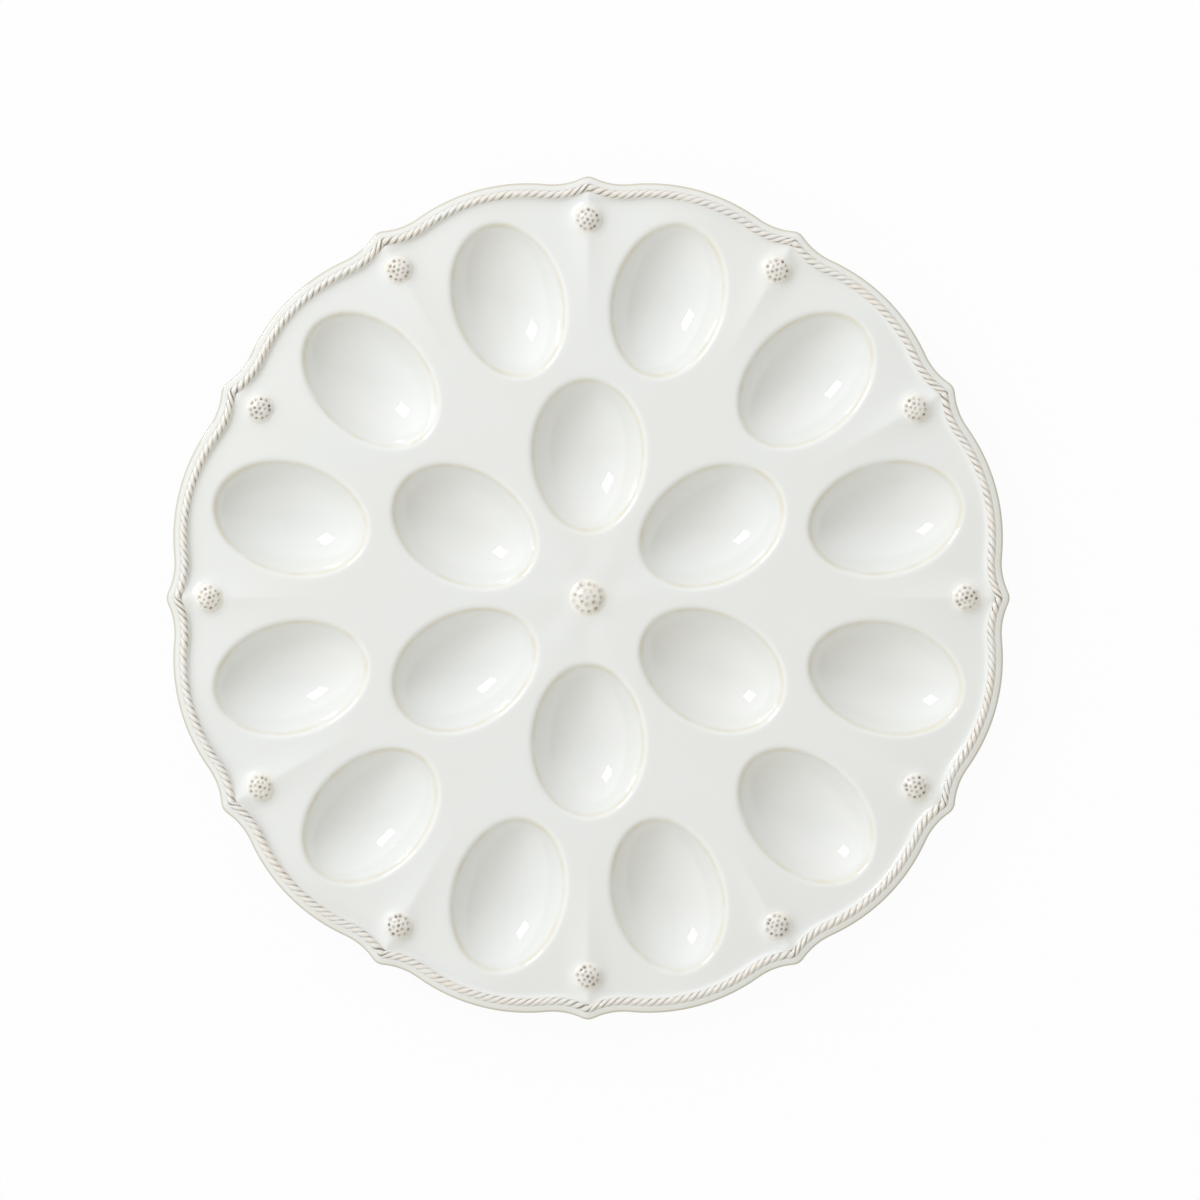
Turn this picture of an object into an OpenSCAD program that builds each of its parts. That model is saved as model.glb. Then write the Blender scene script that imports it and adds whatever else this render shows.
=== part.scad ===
// Deviled egg platter in glazed stoneware. Twelve lobes meet in cusps round its edge, with a
// rope-twist trim just inside the lip, a stippled berry boss at each cusp and one in the middle.
// Twelve egg wells stand in a ring, one to a lobe, and six more lie in a ring round the middle.
// The real platter is pressed and fired in one, so each node is one of its formed features,
// and neighbours meet face to face. The origin is on the table under the middle, with +X
// through a cusp and +Z up.

/* [Outline] */
// Width across opposite cusps
platter_w = 343; // [320:0.5:370]
// How far the middle of a lobe stands out past the circle through the cusps
lobe_swell = 0.5; // [0:0.05:1.5]
// Radius of a lobe's arc
lobe_arc_r = 77.1; // [72:0.1:84]
// Radius of a cusp's rounded tip
cusp_tip_r = 5.6; // [4:0.1:7]
// Radius of the hollow beside a cusp
cusp_hollow_r = 28.4; // [22:0.1:34]

/* [Egg wells] */
// Deck between the edge at the middle of a lobe and its well
rim_land = 14.1; // [13:0.1:18]
// Deck between neighbours in the outer ring of wells
side_land = 19.4; // [18:0.1:24]
// Deck between the outer ring of wells and the inner ring
ring_land = 4.4; // [3:0.1:8]
// Deck between the middle of the platter and an inner well
hub_land = 26.4; // [25:0.1:30]
// Depth of a well below the deck
well_depth = 15; // [12:0.5:17]
// Thickness of a cup's wall
cup_wall = 5; // [4:0.1:5.4]

/* [Deck] */
// Thickness of the deck in the middle
deck_t = 5.5; // [4.8:0.1:7]
// Fall of the deck from the inner wells out to the rim
deck_fall = 1.8; // [0.8:0.1:2]
// Height of the ridges at the cusps
ridge_h = 2; // [0.8:0.1:2.4]
// Half width of a ridge
ridge_half_w = 11; // [8:0.1:12]
// Depth of the valleys beside a ridge at the rim
valley_d = 1.1; // [0:0.1:1.2]

/* [Rim] */
// Rise of the cove from the deck to the rope's seat
cove_rise = 1.3; // [0.8:0.1:3]
// Width of the smooth lip outside the rope
lip_w = 2.8; // [1.8:0.1:2.9]
// Fall of the lip from the rope to the edge
lip_fall = 2.4; // [1:0.1:3]
// Height of the edge's face
edge_h = 2.2; // [1.2:0.1:3]
// Width of the rope trim
rope_w = 3.25; // [2.6:0.05:3.5]
// Height of the rope's strands above their seat
rope_h = 1.7; // [1:0.1:2.4]
// Strands of rope along one lobe
rope_strands = 26; // [20:1:30]
// Width of the cove between the rope and the deck
cove_w = 3; // [2:0.1:5]

/* [Berries] */
// Diameter of a rim berry
rim_berry_d = 11; // [8:0.1:12]
// Height of a rim berry above its mound
rim_berry_h = 2.9; // [1.6:0.1:3.4]
// Distance from a cusp's tip to the middle of its berry
berry_inset = 17.7; // [17:0.1:20]
// Diameter of the middle berry
hub_berry_d = 14.4; // [12:0.1:16]
// Height of the middle berry above its mound
hub_berry_h = 2.8; // [2:0.1:4.4]
// Rise of the smooth mound under a berry above the deck
mound_rise = 0.4; // [0.1:0.1:1]
// Radius of a stippled pit
pit_r = 0.6; // [0.3:0.05:0.7]

/* [Foot] */
// Clearance under the egg cups
foot_clear = 2; // [1:0.1:4]
// How far the outside of the foot ring lies beyond the middles of the outer wells
foot_offset = 2.9; // [0:0.1:4]
// Thickness of the foot ring where it meets the deck
foot_t = 8; // [5:0.1:9]
// Width of the flat that the platter stands on
foot_flat_w = 3; // [2:0.1:4]

/* [Hidden] */
lobes = 12;
inner_wells = 6;
lobe_pitch = 360 / lobes;
inner_pitch = 360 / inner_wells;
cusp_r = platter_w / 2;
lobe_mid_r = cusp_r + lobe_swell;

// Heights
deck_h = foot_clear + cup_wall + well_depth;
deck_under = deck_h - deck_t;
seat_h = deck_h - deck_fall + cove_rise;
lip_edge_h = seat_h - lip_fall;

// Wells share out the deck that the lands leave, along a lobe's middle and across it
outer_length_share = 0.5093;
wells_l = lobe_mid_r - rim_land - ring_land - hub_land;
outer_well_l = outer_length_share * wells_l;
inner_well_l = wells_l - outer_well_l;
outer_egg_at = lobe_mid_r - rim_land - outer_well_l / 2;
inner_egg_at = hub_land + inner_well_l / 2;
well_w = 2 * outer_egg_at * sin(lobe_pitch / 2) - side_land;

// Eggs: each well is the lower part of an egg that turns about its own long axis
mouth_half_w = well_w / 2;
axis_rise = (pow(mouth_half_w, 2) - pow(well_depth, 2)) / (2 * well_depth);
egg_r = axis_rise + well_depth;
egg_stretch = egg_r / mouth_half_w;
axis_h = deck_h + axis_rise;
outer_blunt_share = 0.025;
inner_blunt_share = 0.047;
egg_steps = 20;
overrun = 1;

// Edge arcs of the half lobe beside the cusp on +X: the tip, the hollow and the lobe
tip_c = [cusp_r - cusp_tip_r, 0];
arc_c = (lobe_mid_r - lobe_arc_r) * [cos(lobe_pitch / 2), sin(lobe_pitch / 2)];
tip_reach = cusp_tip_r + cusp_hollow_r;
arc_reach = lobe_arc_r + cusp_hollow_r;
tip_to_arc = arc_c - tip_c;
arc_way = tip_to_arc / norm(tip_to_arc);
hollow_along = (pow(tip_reach, 2) - pow(arc_reach, 2) + pow(norm(tip_to_arc), 2))
    / (2 * norm(tip_to_arc));
hollow_across = sqrt(pow(tip_reach, 2) - pow(hollow_along, 2));
hollow_c = tip_c + hollow_along * arc_way + hollow_across * [arc_way[1], -arc_way[0]];

// Rim places, as distances inwards from the edge
rope_mid = lip_w + rope_w / 2;
rope_in = lip_w + rope_w;
cove_in = rope_in + cove_w;
rope_steps = 2 * rope_strands;

// The underside is flat out to the ends of the outer cups
cup_reach = outer_egg_at + (outer_well_l / 2 * egg_stretch + cup_wall)
    * sqrt(1 - pow((axis_h - deck_under) / (egg_r + cup_wall), 2));
flat_margin = 1.5;
flat_r = cup_reach + flat_margin;

// The deck is level as far as the outer wells, and falls from there
level_r = outer_egg_at - outer_well_l / 2;
fall_reach = lobe_mid_r - cove_in - level_r;
valley_from_share = 0.27;

// Berries
rim_berry_at = cusp_r - berry_inset;
mound_base_h = deck_h - deck_fall - valley_d;
mound_flare_share = 0.9;
rim_berry_pits = [1, 6, 11];
hub_berry_pits = [1, 7, 13];
pit_ring_shares = [0, 0.2, 0.4];
pit_sink_share = 0.35;

// Foot
foot_r = outer_egg_at + foot_offset;
foot_taper = 1.2;
foot_bevel_h = 1.3;

// Shares of half a lobe at which the deck has a line of points
lobe_shares = [0, 0.08, 0.17, 0.27, 0.5, 0.75];
// Shares of the way out to the cove at which the deck has a ring of points
deck_ring_shares = [0.3, 0.57, 0.67, 0.76, 0.84, 0.91, 0.96];
// Across the rope from its inner side to its outer: place, then height
rope_profile_shares = [[-1, 0], [-0.62, 0.78], [0, 1], [0.62, 0.78], [1, 0]];
// Size of the rope at a groove and at the crest of a strand: width, then height
groove_shares = [0.86, 0.58];
crest_shares = [1, 1];
// Lean of a strand across the rope, as a share of the strands' spacing, and the number of
// strands over which it straightens up towards a cusp
strand_slant_share = 0.68;
straighten_strands = 4;
// Shares of the cove's width and of the lip's width at which they have a ring of points
cove_shares = [1, 0.6, 0.3];
lip_shares = [0, 0.5, 0.85, 1];

glaze_color = [0.93, 0.93, 0.91];
rope_color = [0.85, 0.82, 0.76];
berry_color = [0.88, 0.86, 0.81];
foot_color = [0.82, 0.77, 0.69];

function two(n) = n < 10 ? str("0", n) : str(n);
function node_name(stem, i) = str(stem, "_", two(i + 1));

// Where a ray from the origin at angle a leaves, or enters, the circle round c
function ray_mid(c, a) = c[0] * cos(a) + c[1] * sin(a);
function ray_half(c, r, a) = sqrt(max(0, pow(ray_mid(c, a), 2) - c * c + r * r));
function ray_out(c, r, a) = ray_mid(c, a) + ray_half(c, r, a);
function ray_in(c, r, a) = ray_mid(c, a) - ray_half(c, r, a);

// Angle at which the arc of radius r round c gives way to the hollow
function turn_at(c, r) = let (p = c + r * (hollow_c - c) / norm(hollow_c - c)) atan2(p[1], p[0]);

// Angle from the nearest cusp
function from_cusp(a) = let (m = a - lobe_pitch * floor(a / lobe_pitch)) min(m, lobe_pitch - m);

// Radius of the platter's edge, moved in by inset, at angle a
function rim_r(a, inset) =
    let (f = from_cusp(a))
    f < turn_at(tip_c, cusp_tip_r - inset) ? ray_out(tip_c, cusp_tip_r - inset, f)
    : f < turn_at(arc_c, lobe_arc_r - inset) ? ray_in(hollow_c, cusp_hollow_r + inset, f)
    : ray_out(arc_c, lobe_arc_r - inset, f);

// A smooth way down from 1 to 0 as x goes from 0 to 1
function ease_down(x) = (1 + cos(180 * max(0, min(1, x)))) / 2;

// Height of the deck's top at angle a and radius r. It falls outwards, and a sharp-crested
// ridge grows along the way to each cusp, between two shallow valleys.
function deck_top(a, r) =
    let (
        out = max(0, (r - level_r) / fall_reach),
        lobe_share = from_cusp(a) / (lobe_pitch / 2),
        ridge = ridge_h * pow(1 - min(1, r * sin(from_cusp(a)) / ridge_half_w), 2),
        valley = valley_d
            * ease_down((lobe_share - valley_from_share) / (1 - valley_from_share))
    )
    deck_h + (ridge - deck_fall) * pow(out, 2) - valley * pow(out, 4);

// Tops of the mounds
hub_mound_h = deck_h + mound_rise;
rim_mound_h = deck_top(0, rim_berry_at) + mound_rise;

// Angles of the deck's lines of points, all the way round
half_angles = [for (s = lobe_shares) s * lobe_pitch / 2];
lobe_angles = concat(
    half_angles,
    [lobe_pitch / 2],
    [for (i = [len(half_angles) - 1:-1:1]) lobe_pitch - half_angles[i]]
);
deck_angles = [for (k = [0:lobes - 1], a = lobe_angles) k * lobe_pitch + a];

function ring_point(a, r, z) = [r * cos(a), r * sin(a), z];
function deck_ring(share) = [for (a = deck_angles)
    let (r = share * rim_r(a, cove_in))
    ring_point(a, r, deck_top(a, r))];

// Rings of the rim, moved in from the edge by inset or by a share of the cove or lip
function rim_ring(inset, z) = [for (a = deck_angles) ring_point(a, rim_r(a, inset), z)];
function cove_ring(share) = [for (a = deck_angles)
    let (foot = deck_top(a, rim_r(a, cove_in)), drop = 1 - sqrt(1 - pow(1 - share, 2)))
    ring_point(a, rim_r(a, rope_in + share * cove_w), foot + (seat_h - foot) * drop)];
function lip_ring(share) = rim_ring(
    lip_w * (1 - share),
    seat_h - lip_fall * (1 - sqrt(1 - pow(share, 2)))
);

// The rings that turn round a solid, from one pole to the other
deck_rings = concat(
    [for (s = deck_ring_shares) deck_ring(s)],
    [for (s = cove_shares) cove_ring(s)],
    [rim_ring(rope_in, seat_h)],
    [for (s = lip_shares) lip_ring(s)],
    [rim_ring(0, lip_edge_h - edge_h)],
    [[for (a = deck_angles) ring_point(a, flat_r, deck_under)]]
);

// Faces between rings of n points, and from a ring to the pole that closes it
function band_faces(rings, n) = [for (k = [0:rings - 2], i = [0:n - 1])
    let (j = (i + 1) % n, a = k * n + i, b = k * n + j, c = a + n, d = b + n)
    each [[b, c, a], [d, c, b]]];
function top_faces(pole, n) = [for (i = [0:n - 1]) [pole, (i + 1) % n, i]];
function bottom_faces(first, pole, n) = [for (i = [0:n - 1])
    [pole, first + i, first + (i + 1) % n]];

// A solid that rings of points turn round, from the middle of its top to that of its underside
module ringed_solid(rings, top_pole, bottom_pole) {
    n = len(rings[0]);
    body = [for (ring = rings, p = ring) p];
    faces = concat(
        band_faces(len(rings), n),
        top_faces(len(body), n),
        bottom_faces(len(body) - n, len(body) + 1, n)
    );
    polyhedron(concat(body, [top_pole, bottom_pole]), faces);
}

// The egg that hollows a well, or with its wall added the outside of its cup
function egg_outline(half_l, r, blunt) = [for (i = [0:egg_steps])
    let (t = 180 * i / egg_steps) [r * sin(t) * (1 + blunt * cos(t)), half_l * cos(t)]];

module egg(mouth_l, blunt, grow) {
    rotate([0, 90, 0])
        rotate_extrude($fn = 72)
            polygon(egg_outline(mouth_l / 2 * egg_stretch + grow, egg_r + grow, blunt));
}

module at_outer_well(i) {
    rotate([0, 0, (i + 0.5) * lobe_pitch])
        translate([outer_egg_at, 0, axis_h])
            children();
}

module at_inner_well(i) {
    rotate([0, 0, (i + 0.5) * inner_pitch])
        translate([inner_egg_at, 0, axis_h])
            children();
}

// The slice of an egg that passes through the deck
module well_hole(mouth_l, blunt) {
    reach = mouth_l * egg_stretch + 2 * overrun;
    bottom = deck_under - overrun - axis_h;
    intersection() {
        egg(mouth_l, blunt, 0);
        translate([-reach / 2, -reach / 2, bottom])
            cube([reach, reach, deck_t + ridge_h + 2 * overrun]);
    }
}

module all_well_holes() {
    for (i = [0:lobes - 1]) {
        at_outer_well(i) well_hole(outer_well_l, outer_blunt_share);
    }
    for (i = [0:inner_wells - 1]) {
        at_inner_well(i) well_hole(inner_well_l, inner_blunt_share);
    }
}

module deck() {
    color(glaze_color)
        difference() {
            ringed_solid(deck_rings, [0, 0, deck_top(0, 0)], [0, 0, deck_under]);
            all_well_holes();
            mound(hub_berry_d, hub_mound_h);
            for (i = [0:lobes - 1]) {
                rotate([0, 0, i * lobe_pitch])
                    translate([rim_berry_at, 0, 0])
                        mound(rim_berry_d, rim_mound_h);
            }
        }
}

// The mound under a berry flares downwards and is let into the deck
module mound(d, top_h) {
    h = top_h - mound_base_h;
    translate([0, 0, mound_base_h])
        cylinder(h = h, r1 = d / 2 + h * mound_flare_share, r2 = d / 2, $fn = 48);
}

// A cup hangs under the deck: the wall between two eggs, cut off level with the underside
module egg_cup(mouth_l, blunt) {
    reach = mouth_l * egg_stretch + 2 * (cup_wall + overrun);
    drop = axis_h - deck_under;
    color(glaze_color)
        difference() {
            egg(mouth_l, blunt, cup_wall);
            egg(mouth_l, blunt, 0);
            translate([-reach / 2, -reach / 2, -drop]) cube(reach);
        }
}

module outer_egg_cup(i) {
    at_outer_well(i) egg_cup(outer_well_l, outer_blunt_share);
}

module inner_egg_cup(i) {
    at_inner_well(i) egg_cup(inner_well_l, inner_blunt_share);
}

// The foot ring tapers to a narrow flat and is notched where the outer cups run into it
module foot_ring() {
    foot_mid = foot_r - foot_t / 2;
    stand = foot_flat_w / 2;
    color(foot_color)
        difference() {
            rotate_extrude($fn = 180)
                polygon([
                    [foot_r - foot_t, deck_under],
                    [foot_r - foot_t + foot_taper, foot_bevel_h],
                    [foot_mid - stand, 0],
                    [foot_mid + stand, 0],
                    [foot_r - foot_taper, foot_bevel_h],
                    [foot_r, deck_under]
                ]);
            for (i = [0:lobes - 1]) {
                at_outer_well(i) egg(outer_well_l, outer_blunt_share, cup_wall);
            }
        }
}

// A berry is a stippled dome on its smooth mound
module berry(d, h, mound_h, pits) {
    dome_r = (pow(d / 2, 2) + h * h) / (2 * h);
    dome_c = mound_h + h - dome_r;
    color(berry_color)
        difference() {
            union() {
                mound(d, mound_h);
                intersection() {
                    translate([0, 0, dome_c]) sphere(dome_r, $fn = 48);
                    translate([0, 0, mound_h]) cylinder(h = h + overrun, r = d / 2, $fn = 48);
                }
            }
            for (k = [0:len(pits) - 1]) {
                pit_ring(dome_c, dome_r, d * pit_ring_shares[k], pits[k]);
            }
        }
}

// Pits in a circle of radius at, sunk into the dome
module pit_ring(dome_c, dome_r, at, count) {
    lift = dome_c + sqrt(dome_r * dome_r - at * at) + pit_r * pit_sink_share;
    for (i = [0:count - 1]) {
        rotate([0, 0, i * 360 / count]) translate([at, 0, lift]) sphere(pit_r, $fn = 16);
    }
}

module rim_berry(i) {
    rotate([0, 0, i * lobe_pitch])
        translate([rim_berry_at, 0, 0])
            berry(rim_berry_d, rim_berry_h, rim_mound_h, rim_berry_pits);
}

module centre_berry() {
    berry(hub_berry_d, hub_berry_h, hub_mound_h, hub_berry_pits);
}

// One lobe's length of rope. Its cross lines lean with the strands, and stand square to the
// rim at the two cusps, where the next lengths meet it.
function rope_point(step, across) =
    let (
        a = lobe_pitch * step / rope_steps,
        near_end = min(step, rope_steps - step),
        ease = min(1, near_end / (2 * straighten_strands)),
        size = step % 2 == 0 ? groove_shares : crest_shares,
        lean = strand_slant_share * ease * across[0] * lobe_pitch / rope_strands,
        inset = rope_mid - across[0] * size[0] * rope_w / 2
    )
    ring_point(a - lean, rim_r(a - lean, inset), seat_h + across[1] * size[1] * rope_h);

module rope_trim(i) {
    m = len(rope_profile_shares);
    points = [for (s = [0:rope_steps], p = rope_profile_shares) rope_point(s, p)];
    sides = [for (s = [0:rope_steps - 1], j = [0:m - 1])
        let (k = (j + 1) % m, a = s * m + j, b = s * m + k, c = a + m, d = b + m)
        each [[a, b, c], [b, d, c]]];
    first_cap = [for (j = [1:m - 2]) [0, j + 1, j]];
    last = rope_steps * m;
    last_cap = [for (j = [1:m - 2]) [last, last + j, last + j + 1]];
    color(rope_color)
        rotate([0, 0, i * lobe_pitch])
            polyhedron(points, concat(sides, first_cap, last_cap));
}

deck();
foot_ring();
centre_berry();
for (i = [0:lobes - 1]) {
    outer_egg_cup(i);
    rope_trim(i);
    rim_berry(i);
}
for (i = [0:inner_wells - 1]) {
    inner_egg_cup(i);
}
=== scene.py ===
"""A deviled egg platter in white glazed stoneware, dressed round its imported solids.

All sizes are millimetres until a mesh is made, and the places are those of the CAD: the
origin is on the table under the middle, +X goes through a cusp and +Z is up.
"""

import math

import bpy
import numpy as np
from mathutils import Matrix, Vector
from mathutils.geometry import delaunay_2d_cdt


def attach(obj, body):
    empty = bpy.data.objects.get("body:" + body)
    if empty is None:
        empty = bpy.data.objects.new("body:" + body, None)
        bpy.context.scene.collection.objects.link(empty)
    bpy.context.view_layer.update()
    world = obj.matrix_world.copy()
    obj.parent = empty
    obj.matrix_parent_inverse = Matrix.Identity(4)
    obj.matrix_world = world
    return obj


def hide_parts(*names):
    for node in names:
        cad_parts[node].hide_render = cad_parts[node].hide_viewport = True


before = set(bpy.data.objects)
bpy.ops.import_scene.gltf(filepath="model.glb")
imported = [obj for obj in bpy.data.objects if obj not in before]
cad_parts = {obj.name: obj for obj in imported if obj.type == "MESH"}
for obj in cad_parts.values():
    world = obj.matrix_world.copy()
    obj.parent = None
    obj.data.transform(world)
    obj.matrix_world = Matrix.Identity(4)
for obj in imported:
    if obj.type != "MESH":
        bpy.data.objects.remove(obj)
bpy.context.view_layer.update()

MM = 0.001
LOBES = 12
INNER_WELLS = 6
LOBE_PITCH = 30.0
HALF_LOBE = LOBE_PITCH / 2

# Edge of the platter, seen from above
CUSP_R = 171.5
LOBE_MID_R = 172.0
CUSP_TIP_R = 5.6
CUSP_HOLLOW_R = 28.4
LOBE_ARC_R = 77.1

# Heights
DECK_H = 22.0
DECK_UNDER = 16.5
SEAT_H = 21.0
LIP_FALL = 2.4
EDGE_H = 2.2
EDGE_LOW = SEAT_H - LIP_FALL - EDGE_H

# Rim, as distances inwards from the edge
LIP_W = 2.8
ROPE_W = 3.25
ROPE_H = 1.05
ROPE_LEAN = 0.2
COVE_W = 3.0
ROPE_IN = LIP_W + ROPE_W
ROPE_MID = LIP_W + ROPE_W / 2
COVE_IN = ROPE_IN + COVE_W
ROPE_STRANDS = 26

# Wells, which share out the deck that the lands between them leave
RIM_LAND = 14.1
SIDE_LAND = 19.4
RING_LAND = 4.4
HUB_LAND = 26.4
OUTER_LENGTH_SHARE = 0.5093
WELLS_L = LOBE_MID_R - RIM_LAND - RING_LAND - HUB_LAND
OUTER_WELL_L = OUTER_LENGTH_SHARE * WELLS_L
INNER_WELL_L = WELLS_L - OUTER_WELL_L
OUTER_EGG_AT = LOBE_MID_R - RIM_LAND - OUTER_WELL_L / 2
INNER_EGG_AT = HUB_LAND + INNER_WELL_L / 2
WELL_W = 2 * OUTER_EGG_AT * math.sin(math.radians(HALF_LOBE)) - SIDE_LAND
WELL_DEPTH = 15.0
CUP_WALL = 5.0
CUP_FILLET = 4.0
OUTER_BLUNT = 0.025
INNER_BLUNT = 0.047
AXIS_RISE = ((WELL_W / 2) ** 2 - WELL_DEPTH ** 2) / (2 * WELL_DEPTH)
EGG_R = AXIS_RISE + WELL_DEPTH
EGG_STRETCH = EGG_R / (WELL_W / 2)
AXIS_H = DECK_H + AXIS_RISE
MOUTH_R = 3.6

# Deck, which keeps six low rays round the hub: they rise from their inner radius to twice it
# and fade from their outer one to twice that
DECK_FALL = 1.8
RIDGE_H = 2.0
RIDGE_HALF_W = 11.0
RIDGE_CREST_R = 0.5
VALLEY_D = 1.1
VALLEY_FROM = 0.27
LEVEL_R = OUTER_EGG_AT - OUTER_WELL_L / 2
FALL_REACH = LOBE_MID_R - COVE_IN - LEVEL_R
RAY_H = 0.17
RAY_IN = 8.0
RAY_OUT = 30.0

# Berries
RIM_BERRY_AT = 153.8
RIM_BERRY_D = 11.0
RIM_BERRY_H = 2.9
HUB_BERRY_D = 14.4
HUB_BERRY_H = 2.8
MOUND_RISE = 0.4
MOUND_SHARE = 0.6
MOUND_LAP = 0.2
RIM_MOUND_REACH = 8.8
HUB_MOUND_REACH = 12.0

# Foot
FOOT_PAST_EGGS = 2.9
FOOT_R = OUTER_EGG_AT + FOOT_PAST_EGGS
FOOT_T = 8.0
FOOT_MID = FOOT_R - FOOT_T / 2
FOOT_TAPER = 1.2
FOOT_BEVEL_H = 1.3
FOOT_FLAT_W = 3.0
FOOT_ROOT = 1.2

# Camera and floor, in metres: the camera's height above the deck, its place in plan, the width
# of its frame at the deck, and the floor's size and drop. The floor glows for the camera with
# the last share, and the rest of it takes the platter's shadow.
CAMERA_H = 4.0
CAMERA_AT = (0.00484, -0.00081)
FRAME_W = 0.4877
SENSOR_W = 36
FLOOR_W = 6
FLOOR_DROP = 0.0005
FLOOR_GLOW = 0.95

# Softbox: its compass angle and height angle in degrees, its distance and size in metres
SOFTBOX_TURN = 140
SOFTBOX_TILT = 39.4
SOFTBOX_AWAY = 1.78
SOFTBOX_W = 0.5
SOFTBOX_H = 0.4
SOFTBOX_POWER = 7.1
SOFTBOX_COLOUR = (0.93, 0.96, 1.0)

# Light of the studio's walls and ceiling: east, north and up, then west and south. It is
# warmer from the south-east.
GLOW_TO = (0.14, 0.9, 0.53)
GLOW_FROM = (0.82, 0.54, 0.0)
COOL_TINT = (0.982, 0.988, 1.0)
WARM_TINT = (1.0, 0.968, 0.83)
WARM_SIDE = (0.707, -0.707, 0.0)


# The edge of the platter


def polar(r, turn):
    """Points at radius r and angle turn, in degrees."""
    angle = np.radians(turn)
    return np.stack([r * np.cos(angle), r * np.sin(angle)], axis=-1)


TIP_C = np.array([CUSP_R - CUSP_TIP_R, 0.0])
ARC_C = polar(LOBE_MID_R - LOBE_ARC_R, HALF_LOBE)


def find_hollow():
    """Middle of the hollow that touches a cusp's tip and the lobe beside it."""
    tip_reach = CUSP_TIP_R + CUSP_HOLLOW_R
    arc_reach = LOBE_ARC_R + CUSP_HOLLOW_R
    apart = np.linalg.norm(ARC_C - TIP_C)
    way = (ARC_C - TIP_C) / apart
    along = (tip_reach ** 2 - arc_reach ** 2 + apart ** 2) / (2 * apart)
    across = math.sqrt(tip_reach ** 2 - along ** 2)
    return TIP_C + along * way + across * np.array([way[1], -way[0]])


HOLLOW_C = find_hollow()


def ray_hit(centre, r, turn, side):
    """Where a ray from the origin leaves (side 1) or enters (side -1) a circle."""
    angle = np.radians(turn)
    mid = centre[0] * np.cos(angle) + centre[1] * np.sin(angle)
    half = np.sqrt(np.maximum(0, mid ** 2 - centre @ centre + r ** 2))
    return mid + side * half


def turn_at(centre, r):
    """Angle at which an arc of radius r round centre gives way to the hollow."""
    way = (HOLLOW_C - centre) / np.linalg.norm(HOLLOW_C - centre)
    x = centre[0] + r * way[0]
    y = centre[1] + r * way[1]
    return np.degrees(np.arctan2(y, x))


def from_cusp(turn):
    """Angle from the nearest cusp."""
    part = np.mod(turn, LOBE_PITCH)
    return np.minimum(part, LOBE_PITCH - part)


def rim_r(turn, inset):
    """Radius of the platter's edge, moved in by inset, at an angle in degrees."""
    f = from_cusp(turn)
    tip = ray_hit(TIP_C, CUSP_TIP_R - inset, f, 1)
    hollow = ray_hit(HOLLOW_C, CUSP_HOLLOW_R + inset, f, -1)
    lobe = ray_hit(ARC_C, LOBE_ARC_R - inset, f, 1)
    beyond_tip = np.where(f < turn_at(ARC_C, LOBE_ARC_R - inset), hollow, lobe)
    return np.where(f < turn_at(TIP_C, CUSP_TIP_R - inset), tip, beyond_tip)


# Heights of the deck, the bowls and the underside


def ease_down(x):
    """A smooth way down from 1 to 0 as x goes from 0 to 1."""
    return (1 + np.cos(np.pi * np.clip(x, 0, 1))) / 2


def soft_min(a, b, k):
    """The lower of two heights, rounded where they meet."""
    h = np.maximum(k - np.abs(a - b), 0) / k
    return np.minimum(a, b) - h * h * k / 4


def sculpted_h(x, y):
    """Height of the deck without its mounds and wells."""
    r = np.hypot(x, y)
    turn = np.degrees(np.arctan2(y, x))
    f = from_cusp(turn)
    out = np.maximum(0, (r - LEVEL_R) / FALL_REACH)
    aside = np.sqrt((r * np.sin(np.radians(f))) ** 2 + RIDGE_CREST_R ** 2) - RIDGE_CREST_R
    ridge = RIDGE_H * (1 - np.minimum(1, aside / RIDGE_HALF_W)) ** 2
    valley = VALLEY_D * ease_down((f / HALF_LOBE - VALLEY_FROM) / (1 - VALLEY_FROM))
    ray = RAY_H * np.cos(np.radians(INNER_WELLS * turn))
    ray = ray * (1 - ease_down(r / RAY_IN - 1)) * ease_down(r / RAY_OUT - 1)
    return DECK_H + (ridge - DECK_FALL) * out ** 2 - valley * out ** 4 + ray


RIM_MOUND_H = float(sculpted_h(RIM_BERRY_AT, 0.0)) + MOUND_RISE
HUB_MOUND_H = DECK_H + MOUND_RISE


def deck_h(x, y):
    """Height of the deck's top with the mounds under the berries."""
    z = sculpted_h(x, y)
    turn = np.radians(LOBE_PITCH * np.round(np.degrees(np.arctan2(y, x)) / LOBE_PITCH))
    d = np.hypot(x - RIM_BERRY_AT * np.cos(turn), y - RIM_BERRY_AT * np.sin(turn))
    start = RIM_BERRY_D / 2 - MOUND_LAP
    lift = (1 - np.clip((d - start) / (RIM_MOUND_REACH - start), 0, 1)) ** 2
    z = z + MOUND_SHARE * lift * (RIM_MOUND_H - z)
    start = HUB_BERRY_D / 2 - MOUND_LAP
    lift = (1 - np.clip((np.hypot(x, y) - start) / (HUB_MOUND_REACH - start), 0, 1)) ** 2
    return z + lift * (HUB_MOUND_H - z)


def egg_h(along, across, half_l, r, blunt):
    """Height of the lower side of an egg that lies along a radius of the platter."""
    share = np.clip(along / half_l, -1, 1)
    rho = r * np.sqrt(1 - share ** 2) * (1 + blunt * share)
    return AXIS_H - np.sqrt(np.maximum(rho ** 2 - across ** 2, 0))


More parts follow.
